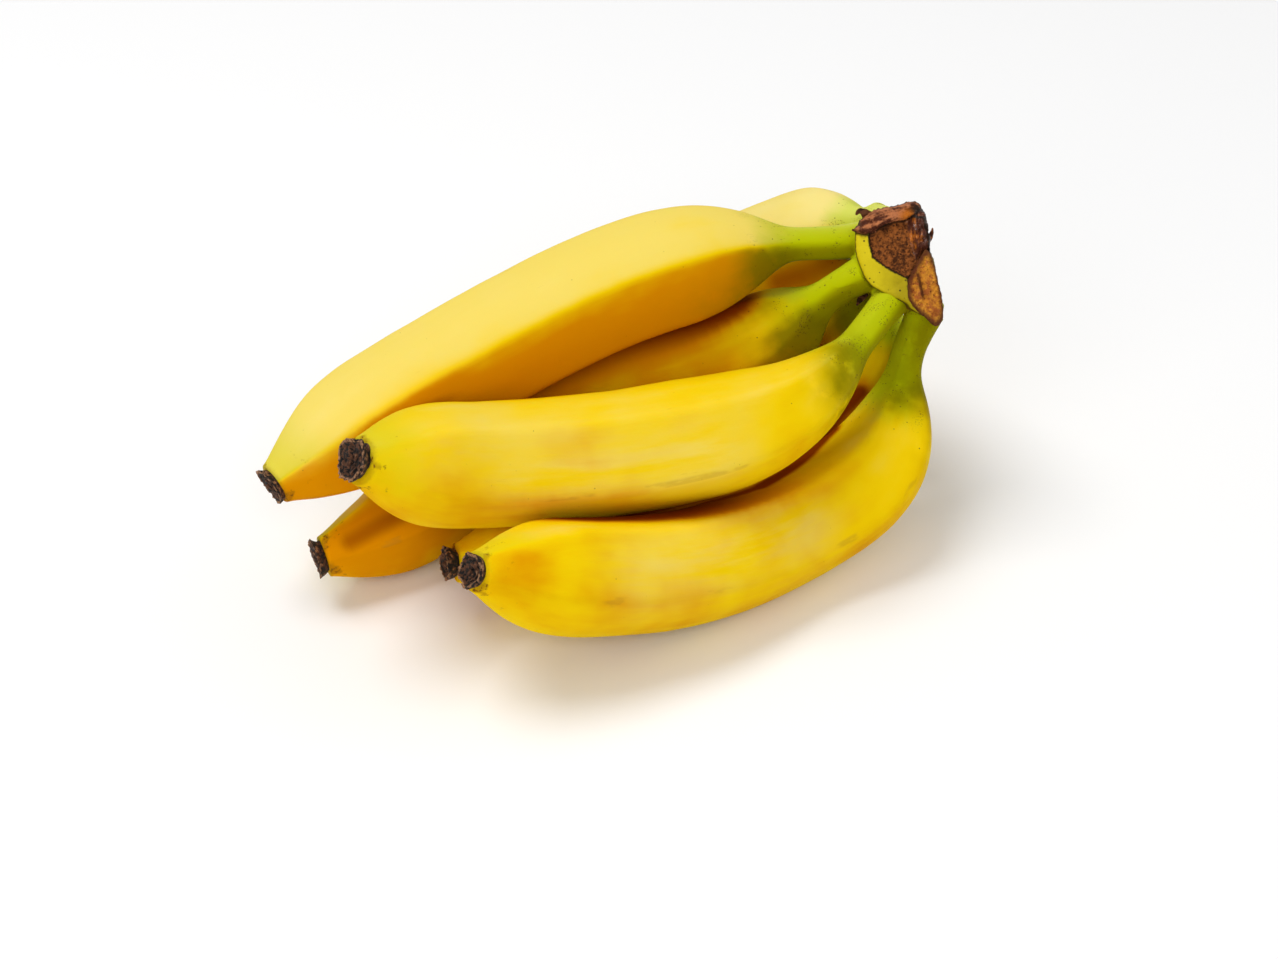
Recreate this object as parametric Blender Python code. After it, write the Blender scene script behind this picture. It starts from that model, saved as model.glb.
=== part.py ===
"""A bunch of six bananas joined at one crown, lying on the backs of the lower fruits.

Metres, +Z up. The origin is under the middle of the bunch, on the surface it lies on.
Each banana is a loft: round at the neck, a softly five-sided section along the body,
round again at the dry tip. The crown is a lofted block with a socket for every neck.
"""
import math

import bmesh
import bpy
import numpy as np
from mathutils import Matrix

MM = 0.001
GAP = 0.3 * MM                # kept between a neck and its socket

SIDES = 20                    # points round a section, a multiple of the five ridges
RINGS = 30                    # sections along a banana
END_CROWDING = 0.45           # how much closer the sections lie at both ends
RIDGES = 5
RIDGE_HEIGHT = 0.020          # of the radius
RIDGE_SHARPNESS = 0.007       # of the radius, second harmonic
RIDGE_START = 6 * MM          # before the end of the neck
RIDGE_RISE = 30 * MM          # length over which the ridges rise
RIDGE_FADE = 25 * MM          # length over which they fade at the tip
LINE_STEPS = 400              # steps along the middle line
SHARP_ANGLE = 40              # degrees

NECK_RADIUS = 5.4 * MM
ROOT_FLARE = 0.5 * MM         # extra radius where the neck meets the crown
ROOT_FLARE_LENGTH = 5 * MM
TIP_LENGTH = 2 * MM           # the dry end, which doesn't taper
SHOULDER_POWER = 2.2
SOCKET_REACH = 34 * MM        # length of neck that the crown is cut around

# Every banana: its full radius, the lengths of its neck, its shoulder and its tapering end,
# the radius of its dry tip, and the line through its middle from the crown to the tip, in mm.
# The turn of its ridges about that line is in degrees.
BANANAS = {
    "banana_top_front": {
        "radius": 18.9, "neck": 26, "shoulder": 43, "taper": 40, "tip": 6.0, "turn": 26,
        "spine": [(84, 41, 90), (73, 39, 90), (61, 38, 90), (37, 33, 88),
                  (1, 21, 82), (-36, 5, 70), (-73, -9, 53), (-105, -30, 41)]},
    "banana_top_back": {
        "radius": 17.8, "neck": 9, "shoulder": 22, "taper": 51, "tip": 5.6, "turn": 0,
        "spine": [(90, 52, 91), (84, 58, 85), (76, 64, 79), (57, 71, 67),
                  (26, 70, 50), (-5, 63, 29), (-39, 48, 16.8), (-67, 25, 14)]},
    "banana_inner": {
        "radius": 17.6, "neck": 18, "shoulder": 32, "taper": 50, "tip": 6.1, "turn": 0,
        "spine": [(84, 30, 84), (75, 29, 78.6), (66, 30, 70.2), (45, 32, 53),
                  (7, 28, 41), (-35, 17, 31), (-66, -12, 16), (-91, -35, 17.5)]},
    "banana_middle_front": {
        "radius": 19.5, "neck": 26, "shoulder": 73, "taper": 36, "tip": 6.3, "turn": -6,
        "spine": [(93, 25, 78), (84, 12, 73.5), (76, 1, 69.5), (60, -13, 62),
                  (28, -23, 55), (-9, -31, 53.4), (-47, -41, 58), (-74, -59, 72)]},
    "banana_bottom_back": {
        "radius": 16.8, "neck": 5, "shoulder": 18, "taper": 36, "tip": 5.0, "turn": 0,
        "spine": [(93, 39, 71), (90, 40, 64), (87, 41, 55), (77, 38, 36),
                  (50, 17, 19), (18, -6, 17.2), (-14, -28, 17.2), (-49, -42, 21)]},
    "banana_bottom_front": {
        "radius": 18.0, "neck": 22, "shoulder": 46, "taper": 40, "tip": 4.9, "turn": -30,
        "spine": [(104, 26, 72), (99, 22, 60), (96, 15, 46), (90, 2, 32),
                  (59, -21, 18), (25, -48, 23), (-12, -66, 34), (-39, -84, 50)]},
}

# The crown: the cut face looks along the block's own +Z, which is tipped back from upright.
# Its sections are the outline at a height, scaled and moved aside and up: (mm, ratio, mm, mm).
CROWN_CENTRE = (95, 33, 86)   # mm
CROWN_TIP_BACK = 55           # degrees about X
CROWN_OUTLINE = [(-12, 17), (-3, 19), (6, 18), (9, 13), (10, 6), (13, -6),
                 (14, -16), (11, -20), (4, -16), (-5, -11), (-11, -4), (-13, 6)]
CROWN_OUTLINE_STEPS = 3       # points on each stretch of the outline
CROWN_SECTIONS = [(-21, 0.45, -1, 0), (-19, 0.68, -1, 0), (-14, 0.86, 0, 0), (-6, 0.97, 0, 0),
                  (1, 1.0, 0, 0), (5, 0.93, 1, 1), (9, 0.76, 2, 3), (10, 0.66, 3, 3)]

PEEL_COLOUR = (0.86, 0.60, 0.05, 1.0)
CROWN_COLOUR = (0.16, 0.07, 0.03, 1.0)


def clear_scene():
    for old in list(bpy.data.objects):
        bpy.data.objects.remove(old, do_unlink=True)


def new_collection(name):
    collection = bpy.data.collections.new(name)
    bpy.context.scene.collection.children.link(collection)
    return collection


def new_material(name, colour, roughness):
    material = bpy.data.materials.new(name)
    material.use_nodes = True
    shader = material.node_tree.nodes["Principled BSDF"]
    shader.inputs["Base Color"].default_value = colour
    shader.inputs["Roughness"].default_value = roughness
    shader.inputs["Metallic"].default_value = 0.0
    return material


def smooth_line(points, count):
    """A natural cubic spline through the points, read at `count` even steps of its length."""
    points = np.array(points, dtype=float)
    knots = np.concatenate(([0.0], np.cumsum(np.linalg.norm(np.diff(points, axis=0), axis=1))))
    steps = np.diff(knots)
    size = len(points)
    system = np.eye(size)
    bends = np.zeros((size, 3))
    for i in range(1, size - 1):
        system[i, i - 1:i + 2] = steps[i - 1], 2 * (steps[i - 1] + steps[i]), steps[i]
        bends[i] = 6 * ((points[i + 1] - points[i]) / steps[i]
                        - (points[i] - points[i - 1]) / steps[i - 1])
    bends = np.linalg.solve(system, bends)
    fine = np.linspace(0, knots[-1], 8 * count)
    span = np.clip(np.searchsorted(knots, fine) - 1, 0, size - 2)
    step = steps[span][:, None]
    before = (knots[span + 1] - fine)[:, None] / step
    after = 1 - before
    curve = (points[span] * before + points[span + 1] * after
             + ((before ** 3 - before) * bends[span]
                + (after ** 3 - after) * bends[span + 1]) * step ** 2 / 6)
    run = np.concatenate(([0.0], np.cumsum(np.linalg.norm(np.diff(curve, axis=0), axis=1))))
    even = np.linspace(0, run[-1], count)
    line = np.stack([np.interp(even, run, curve[:, axis]) for axis in range(3)], axis=-1)
    return line, run[-1]


def stations(length):
    """Distances along a banana, closer together near its two ends."""
    even = np.linspace(0, 1, RINGS)
    return length * (even - END_CROWDING * np.sin(2 * math.pi * even) / (2 * math.pi))


def radius_at(distance, length, sizes):
    """The mean radius of the section at a distance from the crown."""
    full = sizes["radius"] * MM
    if distance < length / 2:
        rise = np.clip((distance / MM - sizes["neck"]) / sizes["shoulder"], 0, 1)
        radius = NECK_RADIUS + (full - NECK_RADIUS) * (1 - (1 - rise) ** SHOULDER_POWER)
    else:
        tip = sizes["tip"] * MM
        rise = np.clip((length - TIP_LENGTH - distance) / (sizes["taper"] * MM), 0, 1)
        radius = tip + (full - tip) * (1 - (1 - rise) ** 2)
    return radius + ROOT_FLARE * math.exp(-distance / ROOT_FLARE_LENGTH)


def ease(value):
    value = np.clip(value, 0, 1)
    return value * value * (3 - 2 * value)


def carried_frames(line):
    """Two directions across the line at each of its points, carried along without twist."""
    along = np.gradient(line, axis=0)
    along /= np.linalg.norm(along, axis=1)[:, None]
    up = np.array((0.0, 0.0, 1.0))
    frames = []
    for direction in along:
        up = up - direction * (up @ direction)
        up /= np.linalg.norm(up)
        frames.append((up, np.cross(direction, up)))
    return frames


def banana_rings(sizes, grow=0.0, reach=None):
    """The section points of one banana, ring by ring from the crown to the tip."""
    line, length = smooth_line(np.array(sizes["spine"]) * MM, LINE_STEPS)
    frames = carried_frames(line)
    angles = np.linspace(0, 2 * math.pi, SIDES, endpoint=False)
    turned = angles - math.radians(sizes["turn"])
    wave = (RIDGE_HEIGHT * np.cos(RIDGES * turned)
            + RIDGE_SHARPNESS * np.cos(2 * RIDGES * turned))
    rings = []
    for distance in stations(length):
        if reach is not None and distance > reach:
            break
        step = int(round(distance / length * (LINE_STEPS - 1)))
        middle = line[step]
        up, across = frames[step]
        ridged = (ease((distance - sizes["neck"] * MM + RIDGE_START) / RIDGE_RISE)
                  * ease((length - distance) / RIDGE_FADE))
        reaches = radius_at(distance, length, sizes) * (1 + ridged * wave) + grow
        rings.append([middle + reach_out * (math.cos(angle) * up + math.sin(angle) * across)
                      for reach_out, angle in zip(reaches, angles)])
    outward = (line[0] - line[1]) / np.linalg.norm(line[0] - line[1])
    rings[0] = [point + grow * outward for point in rings[0]]
    return rings


def loft(name, rings, collection, material):
    """One closed skin over a row of rings with equal point counts, capped at both ends."""
    bm = bmesh.new()
    loops = [[bm.verts.new(point) for point in ring] for ring in rings]
    count = len(loops[0])
    for near, far in zip(loops, loops[1:]):
        for i in range(count):
            j = (i + 1) % count
            bm.faces.new((near[i], near[j], far[j], far[i]))
    bm.faces.new(reversed(loops[0]))
    bm.faces.new(loops[-1])
    bmesh.ops.recalc_face_normals(bm, faces=bm.faces)
    mesh = bpy.data.meshes.new(name)
    bm.to_mesh(mesh)
    bm.free()
    mesh.materials.append(material)
    mesh.shade_smooth()
    mesh.set_sharp_from_angle(angle=math.radians(SHARP_ANGLE))
    piece = bpy.data.objects.new(name, mesh)
    collection.objects.link(piece)
    return piece


def closed_curve(points, steps):
    """A Catmull-Rom curve round the points."""
    points = np.array(points, dtype=float)
    count = len(points)
    curve = []
    for i in range(count):
        a, b, c, d = (points[(i + k) % count] for k in (-1, 0, 1, 2))
        for t in np.arange(steps) / steps:
            curve.append(0.5 * (2 * b + (c - a) * t + (2 * a - 5 * b + 4 * c - d) * t * t
                                + (3 * b - a - 3 * c + d) * t ** 3))
    return curve


def make_crown(parts, cutters, material, cutter_material):
    outline = closed_curve(CROWN_OUTLINE, CROWN_OUTLINE_STEPS)
    rings = [[((x * scale + aside) * MM, (y * scale + above) * MM, height * MM)
              for x, y in outline] for height, scale, aside, above in CROWN_SECTIONS]
    crown = loft("crown", rings, parts, material)
    place = Matrix.Translation([value * MM for value in CROWN_CENTRE])
    crown.matrix_world = place @ Matrix.Rotation(math.radians(CROWN_TIP_BACK), 4, "X")
    for name, sizes in BANANAS.items():
        rings = banana_rings(sizes, grow=GAP, reach=SOCKET_REACH)
        cutter = loft("socket_" + name, rings, cutters, cutter_material)
        cutter.hide_render = True
        cutter.display_type = "WIRE"
        cut = crown.modifiers.new("socket_" + name, "BOOLEAN")
        cut.operation = "DIFFERENCE"
        cut.solver = "EXACT"
        cut.object = cutter


def main():
    clear_scene()
    parts = new_collection("banana_bunch")
    cutters = new_collection("cutters")
    for name, sizes in BANANAS.items():
        loft(name, banana_rings(sizes), parts, new_material(name, PEEL_COLOUR, 0.4))
    crown_material = new_material("crown", CROWN_COLOUR, 0.8)
    make_crown(parts, cutters, crown_material, crown_material)


main()
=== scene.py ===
import math

import bmesh
import bpy
import numpy as np
from mathutils import Matrix, Vector, noise


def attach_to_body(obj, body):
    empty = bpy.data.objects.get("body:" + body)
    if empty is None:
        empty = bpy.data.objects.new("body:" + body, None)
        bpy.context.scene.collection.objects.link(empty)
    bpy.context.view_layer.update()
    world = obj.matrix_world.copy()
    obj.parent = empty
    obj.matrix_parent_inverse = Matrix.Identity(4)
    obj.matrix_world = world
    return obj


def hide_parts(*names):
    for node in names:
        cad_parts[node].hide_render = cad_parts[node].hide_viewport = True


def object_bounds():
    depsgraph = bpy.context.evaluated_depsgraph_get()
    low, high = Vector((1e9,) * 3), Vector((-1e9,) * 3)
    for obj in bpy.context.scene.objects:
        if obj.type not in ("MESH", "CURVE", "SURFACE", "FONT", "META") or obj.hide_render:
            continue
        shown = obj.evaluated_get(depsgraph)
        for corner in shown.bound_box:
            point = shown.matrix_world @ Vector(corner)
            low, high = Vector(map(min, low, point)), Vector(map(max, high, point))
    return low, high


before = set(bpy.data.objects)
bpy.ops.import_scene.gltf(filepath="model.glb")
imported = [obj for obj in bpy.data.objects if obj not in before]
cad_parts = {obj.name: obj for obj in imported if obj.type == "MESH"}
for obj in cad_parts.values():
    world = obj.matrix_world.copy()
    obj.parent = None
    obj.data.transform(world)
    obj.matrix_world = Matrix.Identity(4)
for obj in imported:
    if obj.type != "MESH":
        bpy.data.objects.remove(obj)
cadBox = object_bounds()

mm = 0.001
middle = (cadBox[0] + cadBox[1]) / 2


class Value:
    # a shader socket that can be used in sums
    def __init__(self, shader, socket):
        self.shader, self.socket = shader, socket

    def maths(self, operation, first, second):
        return self.shader.node("Math", {"operation": operation}, first, second)

    def __add__(self, other):
        return self.maths("ADD", self, other)

    def __sub__(self, other):
        return self.maths("SUBTRACT", self, other)

    def __rsub__(self, other):
        return self.maths("SUBTRACT", other, self)

    def __mul__(self, other):
        return self.maths("MULTIPLY", self, other)

    def __truediv__(self, other):
        return self.maths("DIVIDE", self, other)

    def __rtruediv__(self, other):
        return self.maths("DIVIDE", other, self)

    __radd__ = __add__
    __rmul__ = __mul__

    def clamped(self):
        return self.shader.node("Clamp", {}, self)

    def rise(self, low, high):
        # 0 below low, 1 above high and smooth between; falls if low is above high
        settings = {"interpolation_type": "SMOOTHSTEP"}
        return self.shader.node("MapRange", settings, self, low, high, 0.0, 1.0)


class Shader:
    def __init__(self, name):
        self.material = bpy.data.materials.new(name)
        self.material.use_nodes = True
        self.tree = self.material.node_tree
        self.tree.nodes.clear()

    def node(self, kind, settings, *values, out=0, **named):
        made = self.tree.nodes.new("ShaderNode" + kind)
        for key, value in settings.items():
            setattr(made, key, value)
        feeds = [(made.inputs[i], value) for i, value in enumerate(values)]
        feeds += [(made.inputs[key.replace("_", " ")], value) for key, value in named.items()]
        for socket, value in feeds:
            if isinstance(value, Value):
                self.tree.links.new(value.socket, socket)
            elif value is not None:
                socket.default_value = value
        return Value(self, made.outputs[out]) if made.outputs else None

    def attribute(self, name, out=2):
        return self.node("Attribute", {"attribute_name": name}, out=out)

    def noise(self, place, scale, detail=3.0, roughness=0.55):
        return self.node("TexNoise", {}, Vector=place, Scale=scale, Detail=detail,
                         Roughness=roughness)

    def stretched(self, place, x, y, z):
        return self.node("VectorMath", {"operation": "MULTIPLY"}, place, (x, y, z))

    def scatter(self, place, scale):
        # the distance to the nearest of many scattered points
        return self.node("TexVoronoi", {}, Vector=place, Scale=scale)

    def lot(self, away):
        # the nearest scattered point's own number, to pick some of the points by
        return self.node("SeparateColor", {}, Value(self, away.socket.node.outputs["Color"]))

    def blend(self, mask, under, over):
        # a Mix node's colours are its 7th and 8th sockets
        under, over = (one if isinstance(one, Value) else (*one, 1.0) for one in (under, over))
        unused = [None] * 5
        return self.node("Mix", {"data_type": "RGBA"}, mask, *unused, under, over, out=2)

    def finish(self, colour, roughness, height, bump, depth, **fixed):
        normal = self.node("Bump", {}, Strength=bump, Distance=depth, Height=height)
        surface = self.node("BsdfPrincipled", {}, Base_Color=colour, Roughness=roughness,
                            Normal=normal, **fixed)
        self.node("OutputMaterial", {}, surface)
        return self.material


# the peel's finish: scales are per mm, the bump's depth and the glow's radius in metres
peelFinish = {
    # the paler yellows and the light lime are painted light, the orange and the dark lime painted shade
    "yellow": (0.87, 0.595, 0.002),
    "litYellow": (0.84, 0.65, 0.125),
    "highlightCream": (0.86, 0.715, 0.25),
    "shadeOrange": (0.69, 0.265, 0.0004),
    "lime": (0.45, 0.50, 0.0008),
    "limeLit": (0.70, 0.72, 0.15),
    "limeShade": (0.26, 0.25, 0.0005),
    "oliveAndShade": (0.17, 0.15, 0.001),
    "tipGreen": (0.62, 0.55, 0.004),
    "brown": (0.075, 0.034, 0.012),
    "scuff": (0.40, 0.19, 0.020),
    "hollowShade": (0.24, 0.035, 0.0005),
    "bruise": (0.20, 0.080, 0.006),
    "freckleScale": 0.34,
    "dustScale": 0.80,
    "gritScale": 1.7,
    "roughness": 0.42,
    "bump": 0.20,
    "bumpDepth": 0.0004,
    "glow": 0.10,               # light that passes through the skin
    "glowRadius": (0.006, 0.0025, 0.0004),
    "glowScale": 0.6,
    "gloss": 0.005,
    "glossTint": (1.0, 0.86, 0.40, 1.0),
}


def makePeelFinish():
    f = peelFinish
    s = Shader("peel")
    neck = s.attribute("neck")            # 0 at the crown, 1 where the green ends
    toTip = s.attribute("toTip")          # mm to the dry tip
    ridge = s.attribute("ridge")          # 1 on a ridge, 0 between
    shady = s.attribute("shady")          # painted shade: low on the facets painted as lit, high on those painted in shade
    soft = s.attribute("soft")            # painted shade round the fruit: 0 on the side painted as lit, 1 on the other
    near = s.attribute("near")            # painted shade of the hollows: 1 where another fruit lies close
    patch = s.attribute("patch")          # 1 in an olive patch, partly the peel's own olive and partly painted shade
    blanch = s.attribute("blanch")        # 1 in a painted sheen, a pale painted highlight
    place = s.attribute("skin", out=1)    # mm on the fruit as if it were straight
    inBunch = s.stretched(s.node("TexCoord", {}, out=3), 1000, 1000, 1000)
    broad = s.noise(inBunch, 0.030, 3.0)
    along = s.noise(s.stretched(place, 0.13, 0.13, 0.020), 1.0, 4.0)
    long = (along - 0.5) * neck.rise(0.30, 0.80)
    fine = s.noise(place, 0.9, 3.0)

    # ripe yellow, painted paler above where the light falls and deeper below in painted shade
    tone = shady + near * 0.5 + (broad - 0.5) * 0.8 + long * 0.35
    paintedLight = (tone.rise(0.58, 0.02) + blanch * along.rise(0.30, 0.62) * 0.8).clamped()
    colour = s.blend(paintedLight, f["yellow"], f["litYellow"])
    # painted highlight: cream on the most lit facets and in the painted sheen
    colour = s.blend((tone - blanch * 0.35).rise(0.0, -0.6) * 0.85, colour, f["highlightCream"])
    # painted shade: deeper orange on the facets painted in shade
    colour = s.blend(tone.rise(0.52, 1.02), colour, f["shadeOrange"])
    # a painted highlight along the ridges of the lit facets
    colour = s.blend(ridge.rise(0.82, 1.0) * tone.rise(0.62, 0.25) * 0.35, colour, f["litYellow"])

    # green at the neck and a little at the tip, painted lighter on its lit side and darker in its shade
    reach = neck + (broad - 0.5) * 0.6 + long * 0.4
    limeLitMask = (soft.rise(0.13, 0.0) * 0.02 + blanch * 0.85).clamped()
    lime = s.blend(limeLitMask, f["lime"], f["limeLit"])
    lime = s.blend(soft.rise(0.35, 0.90), lime, f["limeShade"])
    colour = s.blend(reach.rise(1.18, 0.62) * 0.97, colour, lime)
    patchy = s.noise(inBunch, 0.12, 4.0)
    # olive, partly the peel's own and partly painted shade on the facets painted in shade
    oliveAndShadeMask = reach.rise(0.55, 0.82) * reach.rise(1.60, 0.98) * tone.rise(0.50, 0.90) * 1.2
    oliveAndShadeMask = oliveAndShadeMask + patch * patchy.rise(0.22, 0.52)
    colour = s.blend((oliveAndShadeMask * (patchy * 0.7 + 0.45)).clamped() * 0.82, colour, f["oliveAndShade"])
    tipGreen = (toTip + (broad - 0.5) * 16).rise(24, 5) * tone.rise(0.75, 0.35)
    colour = s.blend(tipGreen * 0.60, colour, f["tipGreen"])

    # painted shade: browned where another fruit lies close, darkest in the hollows
    hollowMask = near.rise(0.35, 0.72) * (1 - reach.rise(1.0, 0.6) * 0.7)
    colour = s.blend(hollowMask * 0.93, colour, f["shadeOrange"])
    colour = s.blend(near.rise(0.50, 0.86) * 0.97, colour, f["hollowShade"])

    # dry streaks and smudges
    streak = s.noise(s.stretched(place, 0.55, 0.55, 0.05), 1.0, 5.0, 0.7).rise(0.65, 0.72)
    streak = streak * s.noise(place, 0.045, 2.0).rise(0.54, 0.66)
    colour = s.blend(streak * 0.22, colour, f["scuff"])
    edgeNoise = s.noise(s.stretched(place, 0.12, 0.12, 0.04), 1.0, 4.0)
    colour = s.blend(ridge.rise(0.88, 0.98) * edgeNoise.rise(0.58, 0.66) * 0.30, colour, f["scuff"])

    # freckles: many on the neck, few on the body
    nearNeck = neck.rise(1.7, 0.4)
    away = s.scatter(place, f["freckleScale"])
    lot = s.lot(away)
    spot = (away / (lot * 0.10 + 0.045)).rise(1.15, 0.75)
    spot = spot * (nearNeck * 0.05 + 0.006 - lot).rise(-0.01, 0.02)
    away = s.scatter(place, f["dustScale"])
    dust = (away / 0.19).rise(1.2, 0.7) * (nearNeck * 0.14 + 0.006 - s.lot(away)).rise(-0.01, 0.02)
    grit = (s.scatter(place, f["gritScale"]) / 0.30).rise(1.2, 0.6)
    grit = grit * (s.noise(place, 0.16, 3.0).rise(0.48, 0.64) * nearNeck).rise(0.2, 0.8)
    freckles = (spot + dust) * (0.35 + fine * 0.9) + grit * 0.9
    colour = s.blend(freckles.clamped(), colour, f["brown"])

    # brown stains next to the dry tip, more on one side of it
    side = s.noise(place, 0.16, 2.0)
    stain = (toTip + (fine - 0.5) * 3 - side.rise(0.52, 0.74) * 4.0).rise(2.0, -0.6)
    specks = (toTip - side.rise(0.50, 0.70) * 10).rise(3, -3) * fine.rise(0.54, 0.66)
    colour = s.blend((stain * (0.20 + fine * 0.65) + specks * 0.6).clamped(), colour, f["bruise"])
    colour = s.blend(toTip.rise(0.5, 0.0) * 0.8, colour, f["brown"])

    roughness = f["roughness"] + (fine - 0.5) * 0.12 + stain * 0.25 + long * 0.10
    fibres = s.noise(s.stretched(place, 1.2, 1.2, 0.08), 1.0, 4.0)
    height = s.noise(place, 2.6, 3.0) * 0.30 + fibres * 0.6 - spot * 0.25 + broad * 1.0
    return s.finish(colour, roughness, height, f["bump"], f["bumpDepth"],
                    Subsurface_Weight=f["glow"], Subsurface_Radius=f["glowRadius"],
                    Subsurface_Scale=f["glowScale"], Specular_IOR_Level=f["gloss"],
                    Specular_Tint=f["glossTint"])


# the dry tips' finish: the bump's depth is in metres
tipFinish = {
    "dark": (0.012, 0.007, 0.005),
    "brown": (0.135, 0.050, 0.020),
    "rim": (0.50, 0.25, 0.12),
    "ash": (0.36, 0.25, 0.15),
    "roughness": 0.60,
    "bump": 1.0,
    "bumpDepth": 0.0009,
    "gloss": 0.35,
}


def makeTipFinish():
    f = tipFinish
    s = Shader("dryTip")
    place = s.attribute("skin", out=1)
    rim = s.attribute("rim")
    crumbs = s.noise(place, 0.95, 6.0, 0.72)
    flakes = s.noise(place, 2.4, 4.0, 0.7)
    worn = s.attribute("worn") + (crumbs - 0.5) * 1.1
    colour = s.blend(worn.rise(0.36, 0.74), f["dark"], f["brown"])
    rimMask = (rim * 0.7 + worn * 0.8).rise(0.70, 1.10) * crumbs.rise(0.38, 0.54)
    colour = s.blend(rimMask, colour, f["rim"])
    colour = s.blend(flakes.rise(0.60, 0.70) * 0.5, colour, f["ash"])
    roughness = f["roughness"] + (crumbs - 0.5) * 0.5
    height = crumbs * 1.8 + flakes * 0.8
    return s.finish(colour, roughness, height, f["bump"], f["bumpDepth"], Specular_IOR_Level=f["gloss"])


# the crown's finish: spots are in mm, scales are per mm, the bump's depth is in metres
crownFinish = {
    "skin": (0.66, 0.53, 0.008),
    "skinShade": (0.33, 0.25, 0.003),
    "cut": (0.070, 0.020, 0.006),
    "cutLight": (0.36, 0.108, 0.022),
    "pore": (0.010, 0.005, 0.003),
    "flap": (0.56, 0.195, 0.075),
    "flapDark": (0.085, 0.020, 0.010),
    "amber": (0.56, 0.150, 0.007),
    "lobe": (1.0, 0.44, 0.030),
    "lobeDark": (0.40, 0.110, 0.020),
    # painted shade on the walls under the skin's edge
    "under": (0.16, 0.055, 0.008),
    # the middle of the painted orange glow on the flap
    "paintedGlowSpot": (4.0, 14.6, 11.5),
    "burntSpot": (7.6, 16.2, 9.0),
    "grainTurn": -0.35,         # radians
    "freckleScale": 0.62,
    "poreScale": 0.95,
    "knotScale": 0.17,
    "roughness": 0.46,
    "bump": 0.80,
    "bumpDepth": 0.0006,
    "wetRoughness": 0.16,
    "gloss": 0.15,
    "glossTint": (1.0, 0.82, 0.62, 1.0),
}


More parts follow.
